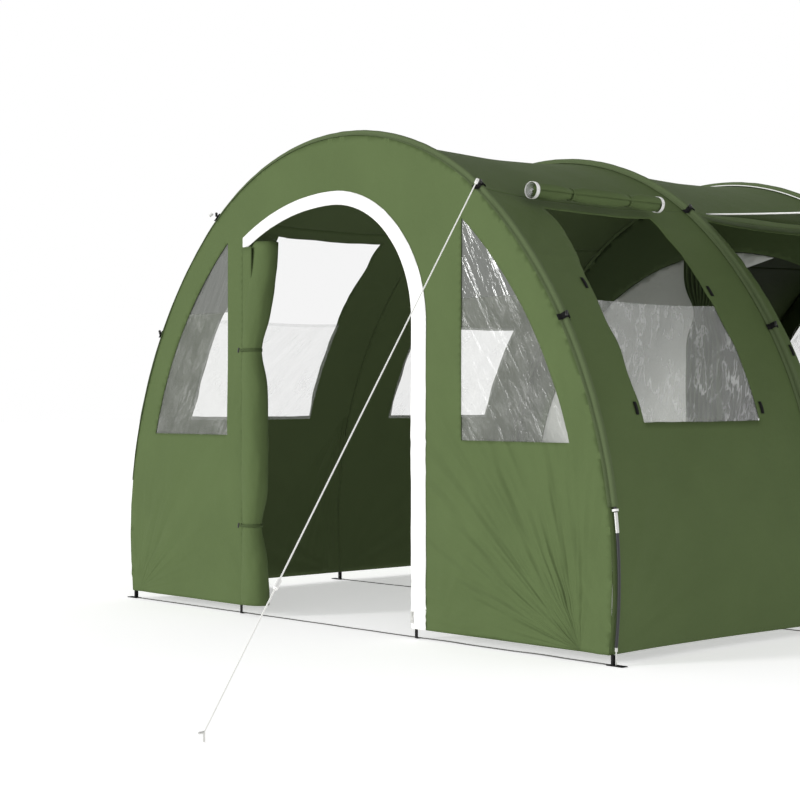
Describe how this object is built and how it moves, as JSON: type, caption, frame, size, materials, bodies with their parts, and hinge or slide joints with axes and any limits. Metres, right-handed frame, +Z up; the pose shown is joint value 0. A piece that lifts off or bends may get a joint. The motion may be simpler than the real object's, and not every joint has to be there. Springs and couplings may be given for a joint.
{
  "type": "tunnel tent",
  "caption": "Arched tunnel tent on sleeved poles, with a rolled-up D-shaped front door, film and mesh windows, a side door raised as a canopy, and a guy line.",
  "frame": {"origin": "middle of the tent's box on the ground, without the guy line", "axes": "+Z up, +Y along the tunnel from the front door to the rear wall, +X towards the side door"},
  "size_m": [4.0452, 6.599, 2.0488],
  "materials": {
    "fly_cloth": "woven polyester, coated, slight sheen",
    "front_cloth": "woven polyester, coated, slight sheen",
    "sleeve_cloth": "woven polyester, matt",
    "partition_cloth": "light grey breathable polyester",
    "white_band": "white woven tape",
    "black_webbing": "black woven webbing",
    "grey_webbing": "light grey woven webbing",
    "window_film": "clear PVC film with wrinkles",
    "mosquito_mesh": "fine woven mesh",
    "fibreglass": "dark pultruded fibreglass rod",
    "plated_steel": "bright plated steel",
    "pole_steel": "plated steel tube",
    "white_plastic": "moulded white plastic",
    "guy_cord": "braided white cord",
    "groundsheet": "coated polyethylene groundsheet"
  },
  "bodies": {
    "tent": {"front_wall": "front_cloth", "front_door_band": "white_band", "front_window_film_left": "window_film", "front_window_film_right": "window_film", "fly_porch_roof": "fly_cloth", "fly_porch_left": "fly_cloth", "fly_porch_right": "fly_cloth", "fly_living_roof": "fly_cloth", "fly_living_left": "fly_cloth", "fly_living_right": "fly_cloth", "fly_bedroom_roof": "fly_cloth", "fly_bedroom_left": "fly_cloth", "fly_bedroom_right": "fly_cloth", "porch_window_film_left": "window_film", "porch_window_mesh_left": "mosquito_mesh", "porch_window_film_right": "window_film", "porch_window_mesh_right": "mosquito_mesh", "living_window_film_left": "window_film", "window_cover_roll_left": "fly_cloth", "window_cover_roll_right": "fly_cloth", "window_cover_ties": "fly_cloth", "window_toggles": "black_webbing", "pole_sleeve_1": "sleeve_cloth", "pole_sleeve_2": "sleeve_cloth", "pole_sleeve_3": "sleeve_cloth", "pole_sleeve_4": "sleeve_cloth", "sleeve_tabs": "black_webbing", "arch_pole_1": "fibreglass", "arch_pole_2": "fibreglass", "arch_pole_3": "fibreglass", "arch_pole_4": "fibreglass", "sleeve_end_caps": "white_plastic", "pole_ferrules": "plated_steel", "pole_foot_pins": "plated_steel", "ground_straps": "grey_webbing", "foot_eyelet_tabs": "black_webbing", "hem_tabs": "black_webbing", "rear_window_film_left": "window_film", "rear_window_film_right": "window_film", "rear_wall": "front_cloth", "partition_header": "fly_cloth", "partition_wall": "partition_cloth", "partition_curtain": "fly_cloth", "bedroom_groundsheet": "groundsheet", "guy_line": "guy_cord", "guy_line_fittings": "white_plastic", "guy_peg": "plated_steel"},
    "front_door": {"front_door_roll": "front_cloth", "front_door_ties": "fly_cloth"},
    "front_zip": {"front_zip_slider": "plated_steel"},
    "canopy_flap": {"canopy": "fly_cloth", "canopy_edging": "white_band", "canopy_pole_loops": "black_webbing"},
    "front_canopy_pole": {"canopy_pole_front_upper": "pole_steel"},
    "front_canopy_leg": {"canopy_pole_front_lower": "pole_steel"},
    "rear_canopy_pole": {"canopy_pole_rear_upper": "pole_steel"},
    "rear_canopy_leg": {"canopy_pole_rear_lower": "pole_steel"},
    "guy_slider": {"guy_runner": "white_plastic"}
  },
  "joints": [
    {"name": "front_door_swing", "type": "hinge", "parent": "tent", "child": "front_door", "pos_m": [-1.11435, -2.324, 0.8], "axis": [0, 0, 1], "range_deg": [-90, 0]},
    {"name": "front_zip_slide", "type": "slide", "parent": "tent", "child": "front_zip", "axis": [0, 0, 1], "range_m": [0, 1.1]},
    {"name": "canopy_hinge", "type": "hinge", "parent": "tent", "child": "canopy_flap", "pos_m": [0.31911, -0.387, 1.74607], "axis": [0, 1, 0], "range_deg": [-10, 44]},
    {"name": "front_pole_fold", "type": "hinge", "parent": "canopy_flap", "child": "front_canopy_pole", "pos_m": [1.97253, -0.867, 1.65788], "axis": [0, 1, 0], "range_deg": [0, 84]},
    {"name": "front_pole_telescope", "type": "slide", "parent": "front_canopy_pole", "child": "front_canopy_leg", "axis": [0, 0, 1], "range_m": [0, 0.6]},
    {"name": "rear_pole_fold", "type": "hinge", "parent": "canopy_flap", "child": "rear_canopy_pole", "pos_m": [1.97253, 0.093, 1.65788], "axis": [0, 1, 0], "range_deg": [0, 84]},
    {"name": "rear_pole_telescope", "type": "slide", "parent": "rear_canopy_pole", "child": "rear_canopy_leg", "axis": [0, 0, 1], "range_m": [0, 0.6]},
    {"name": "guy_runner_slide", "type": "slide", "parent": "tent", "child": "guy_slider", "axis": [0.2964, -0.6975, -0.6524], "range_m": [-1.2, 0.35]}
  ]
}
